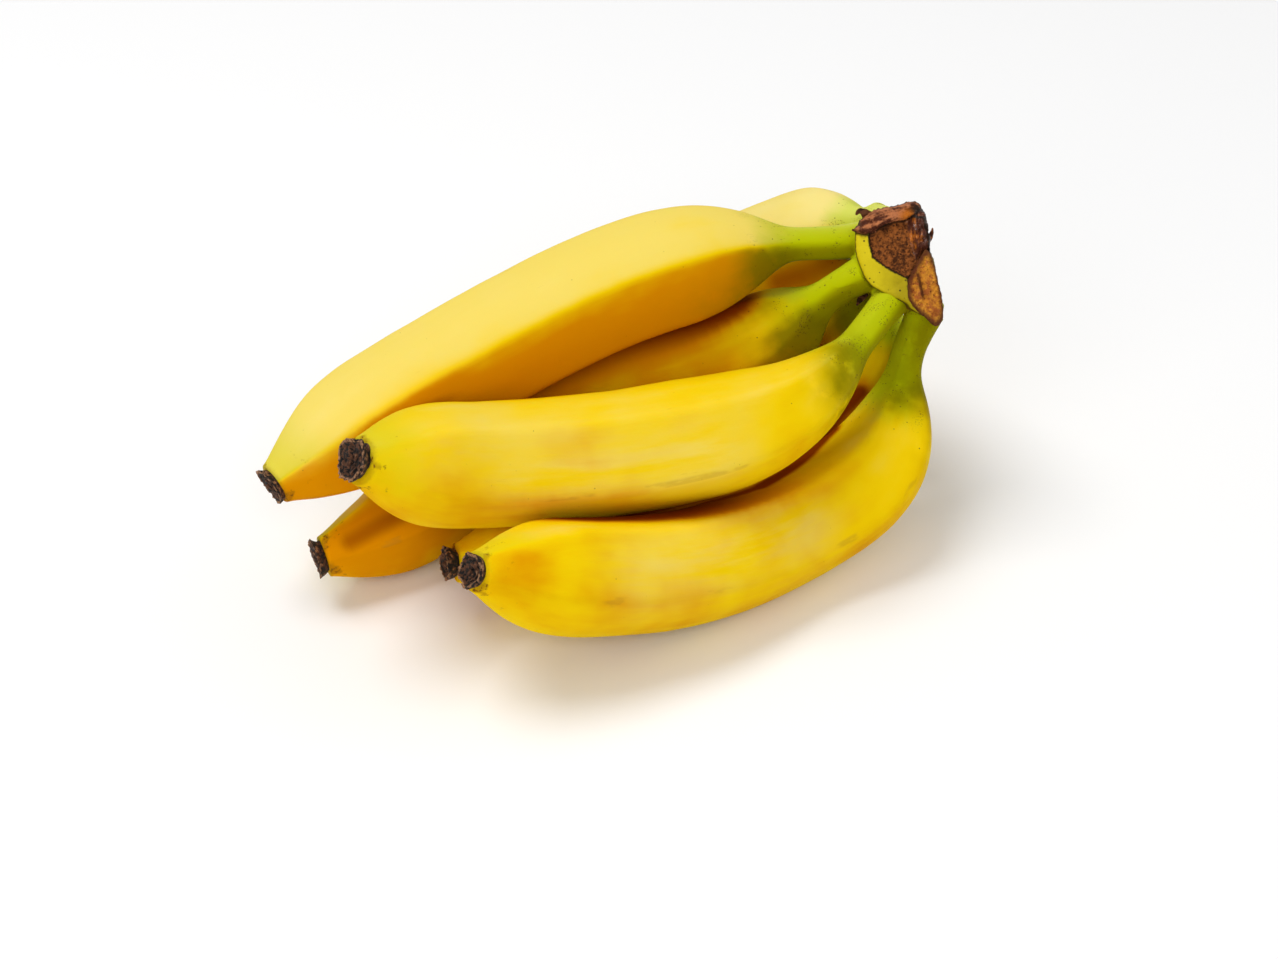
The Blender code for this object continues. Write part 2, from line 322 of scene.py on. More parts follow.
def makeCrownFinish():
    f = crownFinish
    s = Shader("crown")
    place = s.attribute("local", out=1)
    onLobe = s.attribute("onLobe")
    edge = s.attribute("edge")
    across = s.node("SeparateXYZ", {}, place)
    upward = s.node("SeparateXYZ", {}, place, out=1)
    fine = s.noise(place, 0.9, 5.0, 0.65)
    broad = s.noise(place, 0.16, 3.0)
    speckle = s.noise(place, 2.6, 3.0, 0.7)
    wobble = (fine - 0.5) * 1.1
    faceDepth = s.attribute("face") + wobble
    flapDepth = s.attribute("flap") + wobble
    sideDepth = s.attribute("side") + wobble
    lobeDepth = s.attribute("lobe") + wobble * 0.5

    # yellow-green skin with painted shade to the right, and a few dots
    skin = s.blend((across + (broad - 0.5) * 12).rise(-9, 3) * 0.85, f["skin"], f["skinShade"])
    away = s.scatter(place, f["freckleScale"])
    freckle = (away / 0.20).rise(1.2, 0.7) * s.lot(away).rise(0.40, 0.34)
    skin = s.blend(freckle * 0.9, skin, f["pore"])

    # the cut face: dusty brown full of pores, with some large dark ones
    face = s.blend((fine * 0.7 + broad * 0.4).rise(0.44, 0.64), f["cut"], f["cutLight"])
    away = s.scatter(place, f["poreScale"])
    lot = s.lot(away)
    pores = (away / (lot * 0.22 + 0.13)).rise(1.1, 0.6) * lot.rise(0.80, 0.70)
    face = s.blend((pores + speckle.rise(0.62, 0.74) * 0.6).clamped() * 0.92, face, f["pore"])
    away = s.scatter(place, f["knotScale"])
    knots = ((away + (fine - 0.5) * 0.25) / 0.19).rise(1.1, 0.8) * s.lot(away).rise(0.5, 0.4)
    face = s.blend(knots * 0.9, face, f["pore"])

    # dried fibrous skin above and at the side
    turned = s.node("VectorRotate", {"rotation_type": "Z_AXIS"}, place, None, None, f["grainTurn"])
    grain = s.noise(s.stretched(turned, 0.14, 0.75, 0.4), 1.0, 5.0, 0.62)
    mottle = grain + (broad - 0.5) * 0.9 + (fine - 0.5) * 0.5
    dried = s.blend(mottle.rise(0.40, 0.64), f["flapDark"], f["flap"])
    # a painted orange glow on the flap
    fromGlow = s.node("VectorMath", {"operation": "DISTANCE"}, place, f["paintedGlowSpot"], out=1)
    dried = s.blend((fromGlow + wobble * 2).rise(5.4, 1.6) * 0.95, dried, f["amber"])
    dried = s.blend(speckle.rise(0.58, 0.70) * 0.6, dried, f["cutLight"])
    fromBurnt = s.node("VectorMath", {"operation": "DISTANCE"}, place, f["burntSpot"], out=1)
    dried = s.blend((fromBurnt + wobble * 2).rise(5.0, 2.4) * 0.92, dried, f["pore"])
    sideGrain = s.noise(s.stretched(place, 0.8, 0.20, 0.5), 1.0, 6.0, 0.7)
    side = s.blend((sideGrain + (broad - 0.5) * 0.8).rise(0.46, 0.68), f["flapDark"], f["amber"])
    side = s.blend(speckle.rise(0.58, 0.68) * 0.35, side, f["flap"])

    faceMask = faceDepth.rise(-0.15, 0.15)
    flapMask = flapDepth.rise(-0.15, 0.15)
    sideMask = sideDepth.rise(-0.6, 0.6)
    colour = s.blend(faceMask, skin, face)
    colour = s.blend(sideMask, colour, side)
    colour = s.blend(flapMask, colour, dried)

    # dark creases where one meets the next, and round the skin's edge
    crease = faceDepth.rise(-0.55, -0.1) * faceDepth.rise(0.75, 0.2)
    crease = crease * (1 - flapMask)
    crease = crease + flapDepth.rise(-0.9, -0.1) * flapDepth.rise(0.25, -0.05) * 0.9
    # painted shade on the walls under the skin's edge
    under = (edge + wobble).rise(-0.2, -0.9)
    colour = s.blend(under * (1 - flapMask) * broad.rise(0.30, 0.52), colour, f["under"])
    outer = (edge + wobble * 0.4).rise(0.45, 0.10) * (edge + wobble * 0.4).rise(-1.1, -0.5)
    colour = s.blend((crease + outer * 0.85).clamped() * 0.92, colour, f["pore"])

    # the torn stub: orange brown with fibres from its middle, a dark border and a slit
    lobeFibres = s.noise(s.attribute("rays", out=1), 1.0, 5.0, 0.7)
    lobeMottle = s.noise(place, 0.30, 4.0, 0.6) + (fine - 0.5) * 0.6
    lobe = s.blend(lobeMottle.rise(0.36, 0.60), f["lobeDark"], f["lobe"])
    lobe = s.blend((lobeFibres - lobeDepth * 0.03).rise(0.56, 0.40) * 0.55, lobe, f["lobeDark"])
    lobe = s.blend((lobeFibres + speckle * 0.3).rise(0.66, 0.80) * 0.3, lobe, f["flap"])
    lobe = s.blend(pores * 0.55, lobe, f["pore"])
    lobe = s.blend(lobeDepth.rise(2.1, 0.3) * 0.92, lobe, f["flapDark"])
    slit = across + upward * 0.25 - 5.0 + wobble * 0.6
    slit = slit.rise(-1.0, -0.2) * slit.rise(1.0, 0.2)
    slit = slit * upward.rise(-13.0, -10.5) * upward.rise(-2.8, -4.6)
    lobe = s.blend(slit * 0.85, lobe, f["flapDark"])
    colour = s.blend(onLobe, colour, lobe)

    dry = (faceMask + flapMask + sideMask + onLobe).clamped()
    waxed = (sideMask + flapMask * 0.6) * sideGrain.rise(0.45, 0.60)
    roughness = f["roughness"] + dry * 0.20 - waxed * 0.34
    height = fine * 1.5 + speckle * 0.8 - pores * 0.9 - knots * 1.5 + grain * flapMask * 2.0
    height = height * (dry * 0.85 + 0.15)
    wet = (sideMask * sideGrain.rise(0.42, 0.58) + flapMask * speckle.rise(0.55, 0.68) * 0.4).clamped()
    return s.finish(colour, roughness, height, f["bump"], f["bumpDepth"], Coat_Weight=wet * 0.7,
                    Coat_Roughness=f["wetRoughness"], Specular_IOR_Level=f["gloss"],
                    Specular_Tint=f["glossTint"])


peel = makePeelFinish()
dryTip = makeTipFinish()
crownSkin = makeCrownFinish()
print("finishes made")


def attach(mesh, name, values):
    # a value or a vector for every point, for the finishes to read
    values = np.asarray(values, dtype=np.float32)
    kind, field = ("FLOAT", "value") if values.ndim == 1 else ("FLOAT_VECTOR", "vector")
    mesh.attributes.new(name, kind, "POINT").data.foreach_set(field, values.ravel())


def skinOver(name, rings, material, marks):
    # a closed skin over a row of rings, with a point in the middle of each end
    rings = np.asarray(rings)
    count, sides = rings.shape[:2]
    points = np.vstack([rings.reshape(-1, 3), rings[0].mean(axis=0), rings[-1].mean(axis=0)])
    faces = []
    for i in range(count - 1):
        for j in range(sides):
            k = (j + 1) % sides
            faces.append((i * sides + j, i * sides + k, (i + 1) * sides + k, (i + 1) * sides + j))
    start, end = count * sides, count * sides + 1
    for j in range(sides):
        k = (j + 1) % sides
        faces.append((start, k, j))
        faces.append((end, (count - 1) * sides + j, (count - 1) * sides + k))
    mesh = bpy.data.meshes.new(name)
    mesh.from_pydata(points.tolist(), [], faces)
    for mark, values in marks.items():
        values = np.asarray(values)
        ends = [values[0].mean(axis=0)], [values[-1].mean(axis=0)]
        flat = values.reshape(-1, *values.shape[2:])
        attach(mesh, mark, np.concatenate([flat, *ends]))
    bm = bmesh.new()
    bm.from_mesh(mesh)
    bmesh.ops.recalc_face_normals(bm, faces=bm.faces)
    bm.to_mesh(mesh)
    bm.free()
    mesh.materials.append(material)
    mesh.shade_smooth()
    piece = bpy.data.objects.new(name, mesh)
    bpy.context.scene.collection.objects.link(piece)
    return piece


def evenly(curve, count, endpoint=True):
    # a curve of many points, read at even steps of its length
    run = np.concatenate(([0.0], np.cumsum(np.linalg.norm(np.diff(curve, axis=0), axis=1))))
    even = np.linspace(0, run[-1], count, endpoint=endpoint)
    return np.stack([np.interp(even, run, column) for column in curve.T], axis=-1), run[-1]


def smoothLine(points, count):
    # a natural cubic spline through the points, and its length
    points = np.array(points, dtype=float)
    knots = np.concatenate(([0.0], np.cumsum(np.linalg.norm(np.diff(points, axis=0), axis=1))))
    steps = np.diff(knots)
    size = len(points)
    system, bends = np.eye(size), np.zeros(points.shape)
    for i in range(1, size - 1):
        system[i, i - 1:i + 2] = steps[i - 1], 2 * (steps[i - 1] + steps[i]), steps[i]
        slopes = (points[i + 1] - points[i]) / steps[i], (points[i] - points[i - 1]) / steps[i - 1]
        bends[i] = 6 * (slopes[0] - slopes[1])
    bends = np.linalg.solve(system, bends)
    fine = np.linspace(0, knots[-1], 8 * count)
    span = np.clip(np.searchsorted(knots, fine) - 1, 0, size - 2)
    step = steps[span][:, None]
    before = (knots[span + 1] - fine)[:, None] / step
    after = 1 - before
    bent = (before ** 3 - before) * bends[span] + (after ** 3 - after) * bends[span + 1]
    curve = points[span] * before + points[span + 1] * after + bent * step ** 2 / 6
    return evenly(curve, count)


def aroundTurn(count):
    return np.linspace(0, 2 * math.pi, count, endpoint=False)


def blurred(values, width):
    # a Gaussian blur, width in steps
    reach = int(3 * width) + 1
    weights = np.exp(-0.5 * (np.arange(-reach, reach + 1) / width) ** 2)
    return np.convolve(np.pad(values, reach, mode="edge"), weights / weights.sum(), mode="valid")


def ease(value, low, high):
    # 0 below low, 1 above high and smooth between
    t = np.clip((value - low) / (high - low), 0, 1)
    return t * t * (3 - 2 * t)


def carriedFrames(line):
    # two directions across the line at each point, carried along without twist
    along = np.gradient(line, axis=0)
    along /= np.linalg.norm(along, axis=1)[:, None]
    up = np.array((0.0, 0.0, 1.0))
    ups = []
    for direction in along:
        up = up - direction * (up @ direction)
        up /= np.linalg.norm(up)
        ups.append(up)
    ups = np.array(ups)
    return along, ups, np.cross(along, ups)


# the bananas: sizes in mm
peelShape = {
    "sides": 90,
    "ringStep": 1.4,
    "neckRadius": 5.3,
    "shoulderCurve": 2.2,       # how full the shoulder is
    "taperCurve": 2,
    "tipLength": 2,
    "slantLength": 16,          # how far from the end the slant of the tip fades out
    "frontSide": (0.0, -0.82, 0.57),    # the side that a slanting tip looks to
    "flare": 0.9,               # widens where the neck meets the crown
    "flareLength": 6,
    "ridges": 5,
    "ridgeHeight": 0.115,       # of the radius, from facet to ridge
    "ridgeSoftness": 3.2,       # degrees
    "toneSoftness": 4,
    "lumps": 0.22,
}
# painted shade in the hollows between the fruits
hollowShade = {
    "reach": 15.0,              # over which the painted shade of a hollow fades
    "clearOfNeck": (16, 40),
    "clearOfTip": (10, 42),
    "below": 0.10,              # how much of it shows on the undersides
}

# Neck, shoulder and taper are lengths along the fruit, turn is how far its ridges are turned, in degrees,
# green is how far the green reaches, the facet shades are the painted shade of its most lit and most
# shaded facet, and the spine is the middle line of its CAD solid. The marks are (start, end, size,
# strength): patches are olive, partly the peel's own and partly painted shade, the dusky marks painted
# shadows and the blanched ones painted sheen.
usual = {
    "litSide": (-0.25, 0.30, 0.92),     # the side painted as lit; facets that look away from it are painted in shade
    "bounceLight": 0,                        # how much paler the undersides are painted, as light thrown up from the floor
    "patches": [],
    "paintedShadows": [],
    "sheenPatches": [],
}
bananas = {
    "top_front": {
        "radius": 18.9, "neck": 26, "shoulder": 43, "taper": 40, "turn": 26, "seed": 3, "green": 34,
        "tip": {"slant": 0.0, "radius": 5.9, "thick": 0.45, "knob": 0.06}, "facetShades": (-0.10, 1.05),
        "patches": [((54, 20, 80), (38, 16, 79), 13, 0.35)],
        "sheenPatches": [((84, 45, 95), (62, 43, 97), 4.0, 1), ((-98, -24, 50), (-55, 2, 74), 12, 1)],
        "spine": [(84, 41, 90), (73, 39, 90), (61, 38, 90), (37, 33, 88),
                  (1, 21, 82), (-36, 5, 70), (-73, -9, 53), (-105, -30, 41)]},
    "top_back": {
        "radius": 17.8, "neck": 9, "shoulder": 22, "taper": 51, "turn": 0, "seed": 8, "green": 15,
        "tip": {"slant": 0.0, "radius": 5.8, "thick": 1.0, "knob": 0}, "facetShades": (-0.45, 0.6),
        "paintedShadows": [((58, 53, 67), (76, 50, 77), 9, 0.68)],
        "sheenPatches": [((90, 52, 97), (72, 66, 92), 8, 1)],
        "spine": [(90, 52, 91), (84, 58, 85), (76, 64, 79), (57, 71, 67),
                  (26, 70, 50), (-5, 63, 29), (-39, 48, 16.8), (-67, 25, 14)]},
    "inner": {
        "radius": 17.6, "neck": 18, "shoulder": 32, "taper": 50, "turn": 0, "seed": 14, "green": 31,
        "tip": {"slant": 0.55, "radius": 6.0, "thick": 0.35, "knob": 0.25}, "facetShades": (0.2, 1.0),
        "litSide": (-0.75, 0.45, 0.45), "bounceLight": 0.45,
        "patches": [((63, 22, 73), (58, 20, 66), 5, 0.4)],
        "paintedShadows": [((-62, -22, 28), (-80, -34, 24), 8, 0.72)],
        "spine": [(84, 30, 84), (75, 29, 78.6), (66, 30, 70.2), (45, 32, 53),
                  (7, 28, 41), (-35, 17, 31), (-66, -12, 16), (-91, -35, 17.5)]},
    "middle_front": {
        "radius": 19.5, "neck": 26, "shoulder": 73, "taper": 36, "turn": -6, "seed": 21, "green": 40,
        "tip": {"slant": 0.0, "radius": 6.2, "thick": 0.7, "knob": 0.32}, "facetShades": (0.42, 0.62),
        "patches": [((77, -5, 76), (73, -13, 68), 8.5, 1.2)],
        "sheenPatches": [((-22, -56, 62), (34, -42, 63), 11, 1), ((-52, -50, 70), (-12, -42, 70), 9, 0.7)],
        "spine": [(93, 25, 78), (84, 12, 73.5), (76, 1, 69.5), (60, -13, 62),
                  (28, -23, 55), (-9, -31, 53.4), (-47, -41, 58), (-74, -59, 72)]},
    "bottom_back": {
        "radius": 16.8, "neck": 5, "shoulder": 18, "taper": 36, "turn": 0, "seed": 27, "green": 13,
        "tip": {"slant": 0.0, "radius": 5.2, "thick": 0.8, "knob": 0}, "facetShades": (0.55, 0.9),
        "litSide": (0.85, -0.40, 0.35),
        "patches": [((97, 36, 72), (95, 33, 56), 5, 0.5)],
        "paintedShadows": [((97, 36, 72), (95, 33, 56), 5, 0.33), ((84, 24, 42), (70, 14, 29), 5, 0.9),
                  ((62, 5, 27), (5, -28, 29), 6, 0.9)],
        "spine": [(93, 39, 71), (90, 40, 64), (87, 41, 55), (77, 38, 36),
                  (50, 17, 19), (18, -6, 17.2), (-14, -28, 17.2), (-49, -42, 21)]},
    "bottom_front": {
        "radius": 18.0, "neck": 22, "shoulder": 46, "taper": 40, "turn": -30, "seed": 35, "green": 36,
        "tip": {"slant": 0.0, "radius": 5.1, "thick": 0.9, "knob": 0}, "facetShades": (0.40, 0.66),
        "patches": [((101, 18, 68), (96, 7, 50), 6, 1)],
        "paintedShadows": [((74, 6, 39), (66, -2, 36), 4.2, 0.95), ((66, -2, 36), (50, -17, 33), 5, 0.95),
                  ((50, -17, 33), (30, -28, 32), 4.5, 0.85), ((-30, -80, 48), (-18, -80, 52), 7, 0.5)],
        "sheenPatches": [((14, -70, 37), (62, -35, 30), 11, 1)],
        "spine": [(104, 26, 72), (99, 22, 60), (96, 15, 46), (90, 2, 32),
                  (59, -21, 18), (25, -48, 23), (-12, -66, 34), (-39, -84, 50)]},
}
bananas = {name: {**usual, **own} for name, own in bananas.items()}
fullTurn = aroundTurn(720)


def blurredTurn(values, degrees):
    # a blur that goes round the section
    count = len(values)
    return blurred(np.tile(values, 3), degrees * count / 360)[count:2 * count]


def ridgedSection(draw):
    # round a section with soft corners and sides that aren't all alike: 1 on a ridge, 0 between
    shift = draw.uniform(-1, 1, 2)
    warped = fullTurn + 0.10 * np.sin(fullTurn + 3 * shift[0]) + 0.06 * np.sin(2 * fullTurn + 3 * shift[1])
    side = 2 * math.pi / peelShape["ridges"]
    polygon = math.cos(side / 2) / np.cos(np.mod(warped, side) - side / 2)
    polygon = blurredTurn(polygon, peelShape["ridgeSoftness"])
    polygon = (polygon - polygon.min()) / (polygon.max() - polygon.min())
    facet = np.floor(np.mod(warped, 2 * math.pi) / side).astype(int)
    return polygon * (1 + 0.22 * np.sin(fullTurn * 2 + 5 * shift[0])), facet


def neckRadii(b, distance, length):
    p = peelShape
    rise = np.clip((distance - b["neck"]) / b["shoulder"], 0, 1)
    fall = np.clip((length - p["tipLength"] - distance) / b["taper"], 0, 1)
    growing = p["neckRadius"] + (b["radius"] - p["neckRadius"]) * (1 - (1 - rise) ** p["shoulderCurve"])
    tip = b["tip"]["radius"] - 0.2
    ending = tip + (b["radius"] - tip) * (1 - (1 - fall) ** p["taperCurve"])
    radius = blurred(np.where(distance < length / 2, growing, ending), 2.4)
    return radius + p["flare"] * np.exp(-distance / p["flareLength"])


def neighbourLines(own, steps=70):
    # the middle lines of the other bananas with their radii
    lines = []
    for name, b in bananas.items():
        if name != own:
            line, length = smoothLine(b["spine"], steps)
            lines.append((line, neckRadii(b, np.linspace(0, length, steps), length)))
    return lines


def paintedHollowShade(points, normals, lines):
    # painted shade of a hollow: 1 where a point faces another banana that touches it, 0 in the open
    near = np.zeros(len(points))
    rows = np.arange(len(points))
    for line, radius in lines:
        apart = line[None] - points[:, None]
        away = np.linalg.norm(apart, axis=2)
        best = (away - radius).argmin(axis=1)
        gap = np.maximum((away - radius)[rows, best], 0)
        facing = (apart[rows, best] * normals).sum(axis=1) / away[rows, best]
        near = np.maximum(near, np.exp(-gap / hollowShade["reach"]) * ease(facing, 0.1, 0.9))
    return near * (hollowShade["below"] + (1 - hollowShade["below"]) * ease(normals[:, 2], -0.25, 0.35))


def patches(points, places):
    # each place's strength along the line from its start to its end, falling off over its size
    found = np.zeros(len(points))
    for start, end, size, strength in places:
        start, run = np.array(start), np.subtract(end, start)
        t = np.clip((points - start) @ run / (run @ run), 0, 1)
        gap = np.linalg.norm(points - start - t[:, None] * run, axis=1)
        found = np.maximum(found, strength * np.exp(-(gap / size) ** 2))
    return found


def makeBanana(name, b):
    p = peelShape
    draw = np.random.default_rng(b["seed"])
    _, length = smoothLine(b["spine"], 400)
    line, length = smoothLine(b["spine"], int(length / p["ringStep"]))
    distance = np.linspace(0, length, len(line))
    along, ups, across = carriedFrames(line)
    radius = neckRadii(b, distance, length)
    angles = aroundTurn(p["sides"])
    section, facet = ridgedSection(draw)
    turned = angles - math.radians(b["turn"])
    outline = np.interp(turned, fullTurn, section, period=2 * math.pi)
    facets = np.array([fullTurn[facet == k].mean() for k in range(p["ridges"])]) + math.radians(b["turn"])
    # ridges are faint on the neck and the tip
    ridged = (0.35 + 0.65 * ease(distance, b["neck"] - 8, b["neck"] + 26)) * ease(distance, 0, 8)
    ridged = ridged * (0.30 + 0.70 * ease(length - distance, 4, 30))
    litSide = np.array(b["litSide"]) / np.linalg.norm(b["litSide"])
    bodyEnd = length - p["tipLength"]
    lines = neighbourLines(name)
    rings, marks = [], {}
    for i in range(len(line)):
        if distance[i] > bodyEnd:
            break
        outward = radius[i] * (1 + p["ridgeHeight"] * ridged[i] * (outline - 0.42))
        direction = np.outer(np.cos(angles), ups[i]) + np.outer(np.sin(angles), across[i])
        unrolled = np.stack([np.cos(angles) * radius[i], np.sin(angles) * radius[i],
                             np.full(len(angles), distance[i] + 300 * b["seed"])], axis=-1)
        lumps = np.array([noise.noise(Vector(q * 0.045)) + 0.35 * noise.noise(Vector(q * 0.14))
                          for q in unrolled])
        outward = outward + p["lumps"] * lumps * (0.4 + radius[i] / b["radius"])
        ring = direction * outward[:, None]
        slant = b["tip"]["slant"] * ease(p["slantLength"] - bodyEnd + distance[i], 0, p["slantLength"])
        rings.append(line[i] + ring + np.outer(ring @ p["frontSide"] * slant, along[i]))
        # every facet of the body gets its own painted shade, by how far it looks away from the lit side,
        # with painted bounce light making the undersides paler
        facing = np.outer(np.cos(facets), ups[i]) + np.outer(np.sin(facets), across[i])
        facetShades = ease(-(facing @ litSide), -0.75, 0.25) - b["bounceLight"] * ease(-facing[:, 2], -0.2, 0.8)
        byFacet = blurredTurn(facetShades[facet], p["toneSoftness"])
        stepped = np.interp(turned, fullTurn, byFacet, period=2 * math.pi)
        # painted shade that goes smoothly round the fruit, away from the lit side
        soft = ease(-(direction @ litSide), -0.9, 0.6)
        onBody = ease(distance[i], b["neck"] * 0.5, b["neck"] + 12)
        low, high = b["facetShades"]
        own = low + (high - low) * (0.65 * stepped + 0.35 * soft)
        # painted shade of the hollows, kept off the neck and the tip, with the dusky marks' painted
        # shadows added
        clear = ease(distance[i], *hollowShade["clearOfNeck"])
        clear *= ease(length - distance[i], *hollowShade["clearOfTip"])
        near = paintedHollowShade(rings[-1], direction, lines) * clear
        ringMarks = {
            "skin": unrolled,
            "ridge": np.clip(outline, 0, 1) * min(1.0, 0.3 + ridged[i]),
            # painted shade: smooth on the neck, by facet on the body
            "shady": soft + (own - soft) * onBody,
            "soft": soft,
            "patch": patches(rings[-1], b["patches"]),
            # painted sheen patches
            "blanch": patches(rings[-1], b["sheenPatches"]),
            "near": np.maximum(near, patches(rings[-1], b["paintedShadows"])),
            "neck": np.full(len(angles), distance[i] / b["green"]),
            "toTip": np.full(len(angles), bodyEnd - distance[i]),
        }
        for mark, values in ringMarks.items():
            marks.setdefault(mark, []).append(values)
    rings = np.array(rings) * mm
    rings[..., 2] = np.maximum(rings[..., 2], 0.05 * mm)      # settles flat where it lies
    piece = skinOver("peel_" + name, rings, peel, marks)
    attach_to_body(piece, "root")
    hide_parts("banana_" + name)
    last = min(len(line) - 1, int(bodyEnd / p["ringStep"]))
    return line[last], along[last], ups[last], across[last], draw


tipShape = {
    # (distance past the peel's end, part of the tip's radius), from inside the peel to the end's middle
    "profile": [(-3.0, 0.78), (-1.6, 0.90), (-0.5, 0.975), (0.3, 1.01), (0.9, 1.01), (1.4, 0.955),
                (1.35, 0.87), (0.8, 0.79), (0.45, 0.70), (0.9, 0.60), (0.55, 0.49), (1.0, 0.37),
                (0.6, 0.26), (1.3, 0.15), (1.6, 0.05)],
    "sides": 110,
    "rings": 64,
    "wrinkles": 0.65,
    "crumbs": 0.50,
}


def makeTip(name, b, end, along, up, across, draw):
    t, own = tipShape, b["tip"]
    profile, _ = smoothLine([(x, r * own["radius"], 0) for x, r in t["profile"]], t["rings"])
    angles = aroundTurn(t["sides"])
    shift = draw.uniform(0, 50)
    rings, skin, rim, worn = [], [], [], []
    for x, r, _ in profile:
        ring, place, crest, height = [], [], [], []
        for a in angles:
            loose = min(1.0, max(0.0, (x + 1.2) / 1.8)) if r > own["radius"] * 0.85 else 1.0
            fold = noise.noise(Vector((math.cos(a) * 1.6, math.sin(a) * 1.6, shift + x * 0.2)))
            spot = Vector((math.cos(a) * r, math.sin(a) * r, shift + x))
            crumb = noise.noise(spot * 0.8) + 0.6 * noise.noise(spot * 1.9)
            lobes = 0.05 * math.cos(5 * a + shift) + 0.04 * math.cos(3 * a - shift)
            knob = own["knob"] * math.exp(-(math.remainder(a, 2 * math.pi) / 0.36) ** 2)
            reach = r * (1 + (0.10 * fold + lobes + knob) * loose) + t["crumbs"] * crumb * loose
            lift = x * own["thick"] if x > 0 else x
            lift += loose * (t["wrinkles"] * fold + t["crumbs"] * crumb)
            sideways = (math.cos(a) * up + math.sin(a) * across) * reach
            lift += sideways @ peelShape["frontSide"] * own["slant"]
            ring.append(end + along * lift + sideways)
            place.append(spot)
            height.append(0.5 + 0.8 * crumb)
            crest.append(math.exp(-((r / own["radius"] - 0.93) / 0.09) ** 2) * loose)
        rings.append(ring)
        skin.append(place)
        rim.append(crest)
        worn.append(height)
    piece = skinOver("tip_" + name, np.array(rings) * mm, dryTip,
                     {"skin": skin, "rim": rim, "worn": worn})
    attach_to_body(piece, "root")
    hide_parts("banana_" + name)


for name, sizes in bananas.items():
    makeTip(name, sizes, *makeBanana(name, sizes))
print("bananas made")


# the crown, in mm from its centre: the cut face looks along its own +Z, which leans to the front
crown = {
    "centre": (93.8, 32.8, 85.7),
    "lean": 55,                 # degrees from upright
    "outline": [(-13.6, 9.7), (-12.7, 12.4), (-9.6, 15.7), (-6.0, 17.4), (-0.2, 18.4), (4.6, 20.0),
                (6.8, 19.2), (8.7, 16.0), (9.4, 11), (10.0, 7), (10.6, 3), (12.0, -1), (12.9, -8),
                (13.0, -14), (11.8, -17.6), (8.8, -17.6), (4.2, -15.4), (2.0, -13.2), (-4.2, -10.2),
                (-9.4, -6.7), (-12.4, -1), (-13.7, 4)],
    "face": [(-9.7, 9.5), (-9.2, 4.9), (-8.2, 1.2), (-4.5, -1.6), (-1, -3.6), (2.9, -5.5), (3.3, -11.5),
             (8, -14), (12, -9), (10.2, 1), (9.2, 9), (8, 14), (0, 15), (-9, 13)],
    "flap": [(-14.5, 9.6), (-10.8, 8.3), (-8, 9.3), (-5.1, 11.3), (-1.1, 12.8), (1.8, 13.0), (4.4, 14.6),
             (7.0, 16.6), (12, 15), (10, 24), (-16, 24)],
    "side": [(2.6, 14), (3.2, 7.6), (4.6, 3.5), (5.6, 1.0), (8.2, 3.6), (12, 2), (14, 14), (8, 18)],
    "sides": 320,
    "edgeSides": 120,
    "faceRings": 44,
    "top": 11.0,
    "walls": [(-9, 0.78), (-6, 0.84), (-3, 0.88), (0, 0.91), (3, 0.935), (5.5, 0.955), (7.0, 0.985)],
    "recess": 1.2,              # of the cut face below its rim
}
outside = -9.0                  # a depth that stands for well outside an edge
lobe = {
    "outline": [(3.0, -6.0), (3.1, -11.7), (5.6, -15.4), (9.0, -18.3), (12.2, -20.6), (14.3, -18.2),
                (14.1, -12.6), (12.3, -4.6), (10.9, 0.6), (8.7, 3.6), (7.2, 1.9), (5.2, -1.6)],
    "middle": (8.6, -9.0),
    "top": 11.6,
    "sides": 160,
    "domeRings": 26,
    "walls": [(-7.0, 0.70), (-4.0, 0.86), (-1.8, 0.97), (-0.5, 1.0), (0.1, 0.99)],
}
crownPlace = (Matrix.Translation([value * mm for value in crown["centre"]])
              @ Matrix.Rotation(math.radians(crown["lean"]), 4, "X"))


def closedCurve(points, count):
    # a Catmull-Rom curve round the points, read at even steps
    points = np.array(points, dtype=float)
    size = len(points)
    curve = []
    for u in np.linspace(0, size, 20 * size, endpoint=False):
        i, t = int(u), u - int(u)
        a, b, c, d = (points[(i + k) % size] for k in (-1, 0, 1, 2))
        curve.append(0.5 * (2 * b + (c - a) * t + (2 * a - 5 * b + 4 * c - d) * t * t
                            + (3 * b - a - 3 * c + d) * t ** 3))
    return evenly(np.array(curve + curve[:1]), count, endpoint=False)[0]


def depthInside(points, polygon):
    # how far each point is inside a polygon, in mm; negative outside
    polygon = np.array(polygon, dtype=float)
    ends = np.roll(polygon, -1, axis=0)
    nearest = np.full(len(points), 1e9)
    inside = np.zeros(len(points), dtype=bool)
    for a, b in zip(polygon, ends):
        edge = b - a
        t = np.clip(((points - a) @ edge) / (edge @ edge), 0, 1)
        nearest = np.minimum(nearest, np.linalg.norm(points - a - t[:, None] * edge, axis=1))
        crosses = (a[1] > points[:, 1]) != (b[1] > points[:, 1])
        if edge[1] != 0:
            inside ^= crosses & (points[:, 0] < a[0] + (points[:, 1] - a[1]) * edge[0] / edge[1])
    return np.where(inside, nearest, -nearest)


def lumpy(points, scale):
    return np.array([noise.noise(Vector(q) * scale) for q in points])


def fromCrownPlace(points):
    # from the crown's own mm to the bunch's metres
    flat = np.asarray(points).reshape(-1, 3) * mm
    turned = flat @ np.array(crownPlace.to_3x3()).T + np.array(crownPlace.translation)
    return turned.reshape(np.asarray(points).shape)


def finishCrownPiece(piece):
    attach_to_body(piece, "root")
    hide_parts("crown")


